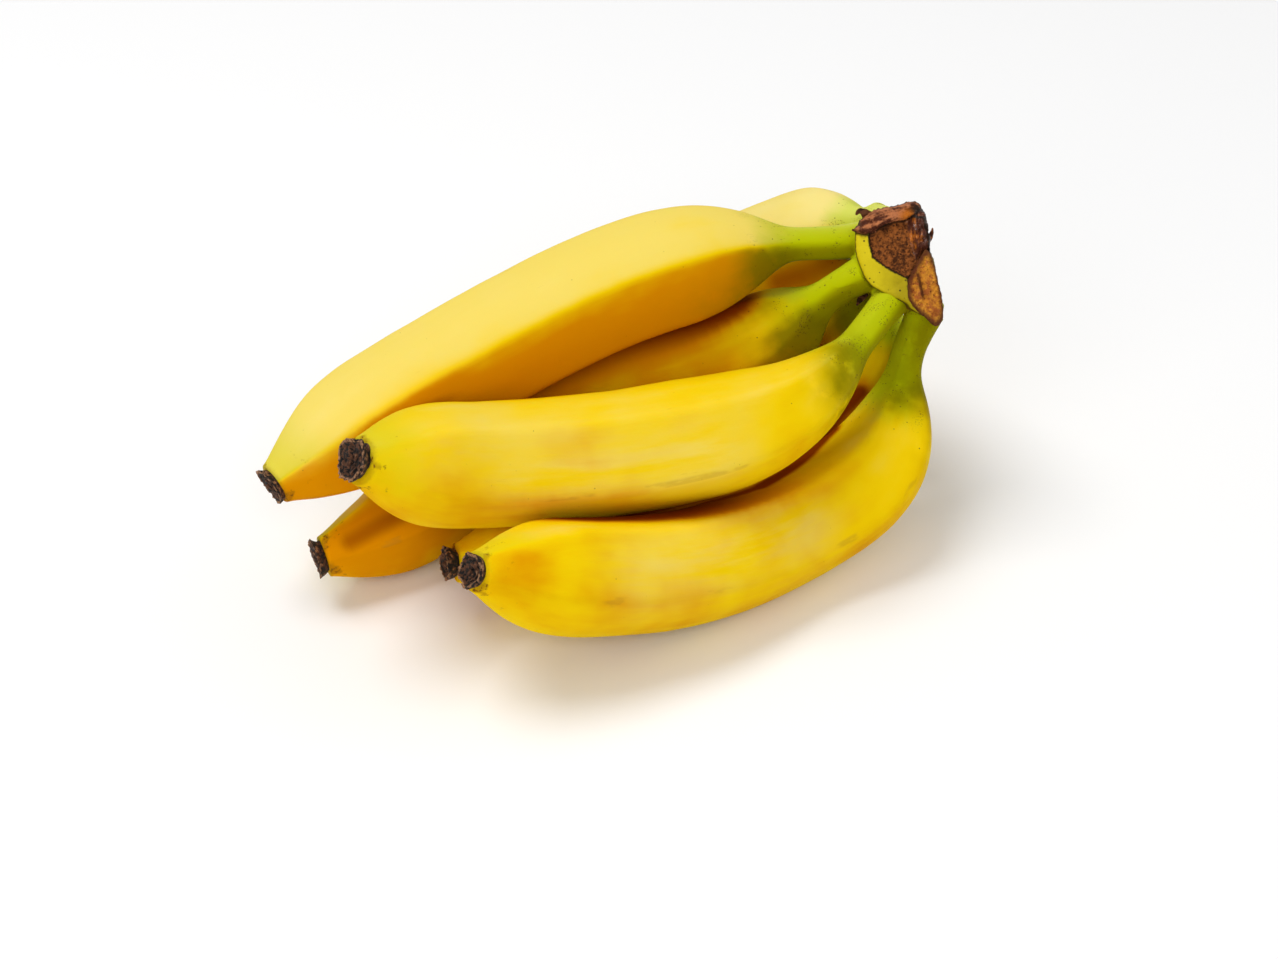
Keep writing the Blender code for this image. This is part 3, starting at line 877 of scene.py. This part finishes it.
def makeCap():
    c = crown
    outline = closedCurve(c["outline"], c["sides"])
    edgeLine = closedCurve(c["outline"], c["edgeSides"])
    scales = [scale for _, scale in c["walls"]]
    scales += [1 - 0.985 * (k / c["faceRings"]) for k in range(c["faceRings"] + 1)]
    heights = [height for height, _ in c["walls"]] + [c["top"]] * (c["faceRings"] + 1)
    rings = np.array([np.column_stack([outline * scale, np.full(c["sides"], height)])
                      for height, scale in zip(heights, scales)])
    flat = rings.reshape(-1, 3)
    x, y = flat[:, 0], flat[:, 1]
    face, flap, side, edge = (depthInside(flat[:, :2], polygon)
                              for polygon in (c["face"], c["flap"], c["side"], edgeLine))
    solid = np.column_stack([x, y, np.zeros(len(x))])
    big, mid, small = (lumpy(solid, scale) for scale in (0.18, 0.55, 1.4))
    # a dome that falls away at the top and the right, with a sloping band of skin round the cut face
    top = c["top"] - 0.036 * np.maximum(0, y - 8) ** 2 - 0.05 * np.maximum(0, x - 6) ** 2
    band = 0.32 * np.clip(-face, 0, 6)
    z = top - band + 0.15 * big
    roll = np.exp(-np.maximum(edge, 0) / 0.45)
    z -= 1.1 * roll
    inFace = ease(face, -0.1, 0.55)
    z += inFace * (-c["recess"] + 0.55 * big + 0.40 * mid + 0.22 * small)
    inSide = ease(side, -0.3, 1.8)
    z += inSide * (1.7 + 0.7 * mid + 0.35 * small) * ease(x, 2.5, 6.5)
    inFlap = ease(flap + 0.5 * mid, -0.1, 0.45)
    z += inFlap * (1.5 + c["recess"] * inFace + 0.6 * mid + 0.3 * small
                   + 0.35 * np.sin(1.9 * (y - 0.35 * x) + 2.5 * big)) * np.clip(edge / 1.2, 0.25, 1)
    z -= 2.6 * ease(depthInside(flat[:, :2], lobe["outline"]), -0.2, 1.6)
    isWall = flat[:, 2] < c["top"]
    flat[:, 2] = np.where(isWall, np.minimum(flat[:, 2], top - 3.5), z)
    # walls dry and crumple under the flap and the side
    dry = np.maximum(ease(flap, -1, 1), ease(side, -1, 1)) * ease(flat[:, 2], -5, 2)
    away = np.linalg.norm(flat[:, :2], axis=1)[:, None] + 1e-6
    near = np.exp(-np.maximum(edge, 0) / 1.2)
    flat[:, :2] += flat[:, :2] / away * ((0.45 * mid + 0.3 * small) * near * (0.25 + dry))[:, None]
    # the wall comes out a little from under the band in front
    front = np.exp(-((x + 0.5) / 4.0) ** 2) * (y < -4) * isWall * ease(-flat[:, 2], -7.4, -4.5)
    flat[:, :2] += front[:, None] * np.array((-0.7, -1.5))
    rings = flat.reshape(rings.shape)
    shape = rings.shape[:2]
    edge = np.where(isWall, flat[:, 2] - 7.5 - 1.5 * front, edge)
    marks = {"face": face, "flap": flap, "side": side, "edge": edge}
    marks = {mark: values.reshape(shape) for mark, values in marks.items()}
    marks["local"] = rings
    finishCrownPiece(skinOver("crown_cap", fromCrownPlace(rings), crownSkin, marks))


def makeLobe():
    # the stub of another fruit, torn off
    c = lobe
    outline = closedCurve(c["outline"], c["sides"]) - c["middle"]
    inward = [k / c["domeRings"] for k in range(1, c["domeRings"] + 1)]
    rows = c["walls"] + [(0.1 + 0.6 * math.sin(t * math.pi / 2), 0.97 * (1 - t) + 0.015) for t in inward]
    outwards = outline / np.linalg.norm(outline, axis=1)[:, None]
    rings, depth = [], []
    for height, scale in rows:
        ring = np.column_stack([outline * scale + c["middle"], np.full(c["sides"], height)])
        x, y = ring[:, 0] - c["middle"][0], ring[:, 1] - c["middle"][1]
        ring[:, 2] += c["top"] - 1.2 + 0.10 * y - 0.12 * x
        crumple = lumpy(ring, 0.5) * 0.5 + lumpy(ring, 1.3) * 0.3
        slit = -0.9 * np.exp(-((x + 0.25 * y + 0.8) / 0.7) ** 2) * ease(-np.abs(y), -6.5, -2)
        lip = 0.8 * math.exp(-((scale - 0.9) / 0.1) ** 2) if height > -0.6 else 0
        ring[:, 2] += (crumple + lip + slit * (height > 0.05)) * (1 if height > -1 else 0.3)
        ring[:, :2] += outwards * (crumple * 0.6)[:, None] * scale
        rings.append(ring)
        depth.append(np.full(c["sides"], (1 - scale) * 6.0 if height > -0.6 else 0.0))
    rings = np.array(rings)
    shape = rings.shape[:2]
    offset = rings[..., :2] - np.array(c["middle"])
    bearing = np.arctan2(offset[..., 0], offset[..., 1] * 0.55)
    spread = np.linalg.norm(offset, axis=-1)
    rays = np.stack([np.sin(bearing) * 4.5, np.cos(bearing) * 4.5, spread * 0.25], axis=-1)
    none = np.full(shape, outside)
    marks = {"local": rings, "rays": rays, "lobe": np.array(depth), "onLobe": np.ones(shape),
             "face": none, "flap": none, "side": none, "edge": -none}
    finishCrownPiece(skinOver("crown_lobe", fromCrownPlace(rings), crownSkin, marks))


# small dried scraps at the crown's edge, dark below an edge of 0.1
chips = {
    "crown_scrap_left": {
        "width": 1.7, "edge": -0.2,
        "spine": [(-9.0, 14.0, 7.0), (-10.6, 15.6, 8.2), (-12.4, 16.2, 8.0), (-13.3, 15.2, 7.2)]},
    "crown_bud": {
        "width": 1.4, "edge": 0.15,
        "spine": [(-9.5, -9.0, -3.0), (-11.0, -11.0, -1.0), (-12.0, -12.4, 0.5), (-12.6, -13.4, 1.5)]},
    "crown_scrap_right": {
        "width": 1.1, "edge": 0.3,
        "spine": [(9.0, 6.5, 7.0), (10.2, 7.8, 7.6), (10.9, 9.4, 7.8), (11.3, 11.0, 7.6)]},
    "crown_scrap_flap": {
        "width": 1.3, "edge": 0.45,
        "spine": [(-7.5, 10.5, 9.4), (-10.5, 9.7, 9.6), (-13.0, 9.6, 9.0), (-14.6, 10.4, 8.0)]},
}


def makeChip(name, c):
    line, _ = smoothLine(c["spine"], 30)
    along, ups, across = carriedFrames(line)
    angles = aroundTurn(28)
    rings = []
    for i in range(len(line)):
        t = i / (len(line) - 1)
        wide = c["width"] * (1 - 0.85 * t ** 1.6) + 0.05
        ring = line[i] + np.outer(np.cos(angles) * wide * 0.30, ups[i])
        ring += np.outer(np.sin(angles) * wide, across[i])
        rings.append(ring + (lumpy(ring, 0.9) * 0.45)[:, None] * np.array((0.5, 0.5, 0.6)))
    rings = np.array(rings)
    shape = rings.shape[:2]
    none = np.full(shape, outside)
    marks = {"local": rings, "face": none, "side": none, "flap": -none, "edge": np.full(shape, c["edge"])}
    finishCrownPiece(skinOver(name, fromCrownPlace(rings), crownSkin, marks))


collar = {
    "voxel": 0.65,
    "reach": 19,             # mm along each neck
    "past": 3,               # mm past the end of a short neck
    "swell": 0.12,
    "smoothing": 10,
    "coreSides": 90,
    "neckSides": 40,
    "lineSteps": 200,
    "greenSteps": 60,        # of the line's, near the crown
    "heart": (0.0, 0.0, -7.0),
    "core": [(-17, 0.45), (-14, 0.70), (-8, 0.86), (-3, 0.91), (1.5, 0.92), (3.0, 0.84)],
}


def greenReach(points):
    # how far along the green of the nearest necks a point is
    total, weights = np.zeros(len(points)), np.zeros(len(points))
    steps = collar["lineSteps"]
    for b in bananas.values():
        line, length = smoothLine(b["spine"], steps)
        away = np.linalg.norm(line[None, :collar["greenSteps"]] - points[:, None], axis=2)
        weight = 1 / (0.1 + away.min(axis=1)) ** 6
        total += weight * away.argmin(axis=1) * (length / (steps - 1) / b["green"])
        weights += weight
    return total / weights


def makeCollar():
    # the necks grow together under the cut face
    c = collar
    outline = closedCurve(crown["outline"], c["coreSides"])
    core = np.array([np.column_stack([outline * scale, np.full(c["coreSides"], height)])
                     for height, scale in c["core"]])
    parts = [fromCrownPlace(core) / mm]
    heart = fromCrownPlace(c["heart"]) / mm
    angles = aroundTurn(c["neckSides"])
    for b in bananas.values():
        line, length = smoothLine(b["spine"], c["lineSteps"])
        distance = np.linspace(0, length, c["lineSteps"])
        reach = min(c["reach"], b["neck"] + c["past"])
        keep = distance < reach
        path, run = line[keep], distance[keep]
        radius = neckRadii(b, distance, length)[keep]
        # swells over the neck, and sinks into it at its end
        radius = radius + c["swell"] * ease(-run, -reach * 0.75, -4) - 0.9 * ease(run, reach * 0.5, reach)
        inward = [path[0] + (heart - path[0]) * t for t in (0.55, 0.35, 0.15)]
        path = np.vstack([inward, path])
        radius = np.concatenate([[radius[0] * 0.7, radius[0] * 0.9, radius[0]], radius])
        _, ups, across = carriedFrames(path)
        parts.append(np.array([path[i] + radius[i] * (np.outer(np.cos(angles), ups[i])
                                                      + np.outer(np.sin(angles), across[i]))
                               for i in range(len(path))]))
    joined = bmesh.new()
    for rings in parts:
        part = skinOver("part", rings * mm, peel, {})
        mesh = part.data
        joined.from_mesh(mesh)
        bpy.data.objects.remove(part)
        bpy.data.meshes.remove(mesh)
    mesh = bpy.data.meshes.new("crown_collar")
    joined.to_mesh(mesh)
    joined.free()
    piece = bpy.data.objects.new("crown_collar", mesh)
    bpy.context.scene.collection.objects.link(piece)
    remesh = piece.modifiers.new("voxels", "REMESH")
    remesh.mode = "VOXEL"
    remesh.voxel_size = c["voxel"] * mm
    soften = piece.modifiers.new("soften", "SMOOTH")
    soften.factor, soften.iterations = 0.5, c["smoothing"]
    grown = bpy.data.meshes.new_from_object(piece.evaluated_get(bpy.context.evaluated_depsgraph_get()))
    piece.modifiers.clear()
    piece.data = grown
    grown.materials.clear()
    grown.materials.append(peel)
    grown.shade_smooth()
    points = np.array([v.co[:] for v in grown.vertices]) / mm
    normals = np.array([v.normal[:] for v in grown.vertices])
    # painted shade by how far the collar looks away from the lit side
    litSide = np.array(usual["litSide"]) / np.linalg.norm(usual["litSide"])
    soft = ease(-(normals @ litSide), -0.9, 0.6)
    none = np.zeros(len(points))
    marks = {"skin": points, "neck": greenReach(points), "near": none, "ridge": none,
             "toTip": none + 150, "shady": soft, "soft": soft}
    for mark, places in (("patch", "patches"), ("blanch", "sheenPatches")):
        marks[mark] = np.max([patches(points, b[places]) for b in bananas.values()], axis=0)
    for mark, values in marks.items():
        attach(grown, mark, values)
    finishCrownPiece(piece)


makeCap()
makeLobe()
for name, sizes in chips.items():
    makeChip(name, sizes)
makeCollar()
print("crown made")


studio = {
    "aim": (0.0107, -0.0220, -0.0142),     # from the middle of the bunch
    "elevation": 35,
    "distance": 0.786,
    "lens": 70,
    "floor": (0.97, 0.97, 0.97),
    "floorShade": (0.92, 0.92, 0.92),
    "floorSize": 8,
    "surround": 0.34,
    "lights": {
        # place from the middle of the bunch, size, power
        "key": ((-0.75, 0.18, 2.06), 1.3, 28),
        "fill": ((-1.0, -1.7, 1.15), 1.4, 9),
        "front": ((0.30, -1.80, 1.35), 0.9, 10.5),
        "side": ((1.6, 0.45, 0.70), 1.2, 5),
    },
}


def lookAt(thing, target):
    thing.rotation_euler = (Vector(target) - thing.location).to_track_quat("-Z", "Y").to_euler()


def addLight(name, place, size, power):
    data = bpy.data.lights.new(name, "AREA")
    data.shape = "DISK"
    data.size, data.energy = size, power
    lamp = bpy.data.objects.new(name, data)
    lamp.location = middle + Vector(place)
    bpy.context.scene.collection.objects.link(lamp)
    lookAt(lamp, middle)


def makeStudio():
    aim = middle + Vector(studio["aim"])
    tilt = math.radians(studio["elevation"])
    camera = bpy.data.objects.new("camera", bpy.data.cameras.new("camera"))
    camera.location = aim + Vector((0, -math.cos(tilt), math.sin(tilt))) * studio["distance"]
    camera.data.lens = studio["lens"]
    camera.data.sensor_width = 36
    camera.data.clip_start, camera.data.clip_end = 0.01, 50
    bpy.context.scene.collection.objects.link(camera)
    lookAt(camera, aim)
    bpy.context.scene.camera = camera

    bpy.ops.mesh.primitive_plane_add(size=studio["floorSize"], location=(0, 0, -0.0002))
    floor = bpy.context.active_object
    floor.name = "floor"
    paper = Shader("floorPaper")
    grain = paper.noise(paper.node("TexCoord", {}, out=3), 6.0)
    tone = paper.blend(grain * 0.04, studio["floor"], studio["floorShade"])
    floor.data.materials.append(paper.finish(tone, 0.75, grain, 0.0, 0.0001))

    world = bpy.data.worlds.new("studio")
    bpy.context.scene.world = world
    world.use_nodes = True
    background = world.node_tree.nodes["Background"]
    background.inputs["Color"].default_value = (1.0, 1.0, 1.0, 1.0)
    background.inputs["Strength"].default_value = studio["surround"]
    for name, (place, size, power) in studio["lights"].items():
        addLight(name, place, size, power)
    bpy.context.scene.view_settings.view_transform = "Standard"


makeStudio()
print("studio made")
